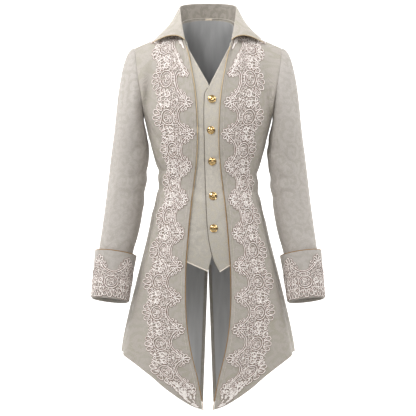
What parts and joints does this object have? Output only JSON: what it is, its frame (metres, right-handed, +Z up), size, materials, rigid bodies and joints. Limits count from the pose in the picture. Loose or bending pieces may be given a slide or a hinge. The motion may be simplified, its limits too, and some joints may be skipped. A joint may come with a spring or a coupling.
{
  "type": "tailcoat",
  "caption": "Fitted tailcoat with attached waistcoat fronts, spread collar, lace bands, turned-back cuffs, pointed tails and a centre-back vent.",
  "frame": {"origin": "between the wearer's shoulders, at the level where the shoulder seams meet the neck", "axes": "+Z up along the wearer's body, +X to the wearer's left, front facing -Y"},
  "size_m": [0.6352, 0.3337, 1.1007],
  "materials": {
    "jacquard": "woven jacquard, soft sheen",
    "lining": "grey satin",
    "lace": "corded guipure lace",
    "piping": "gold braid",
    "button": "polished, domed"
  },
  "bodies": {
    "root": {"coat_front_left": "jacquard", "coat_back_left": "jacquard", "upper_sleeve_left": "jacquard", "under_sleeve_left": "jacquard", "cuff_left": "jacquard", "vest_left": "jacquard", "lace_front_left": "lace", "lace_cuff_left": "lace", "piping_front_left": "piping", "piping_collar_left": "piping", "piping_cuff_left": "piping", "coat_front_right": "jacquard", "coat_back_right": "jacquard", "upper_sleeve_right": "jacquard", "under_sleeve_right": "jacquard", "cuff_right": "jacquard", "vest_right": "jacquard", "lace_front_right": "lace", "lace_cuff_right": "lace", "piping_front_right": "piping", "piping_collar_right": "piping", "piping_cuff_right": "piping", "collar_stand": "jacquard", "collar_fall": "jacquard", "lining_back": "lining", "button_1": "button", "button_2": "button", "button_3": "button", "button_4": "button", "button_5": "button"}
  },
  "joints": []
}
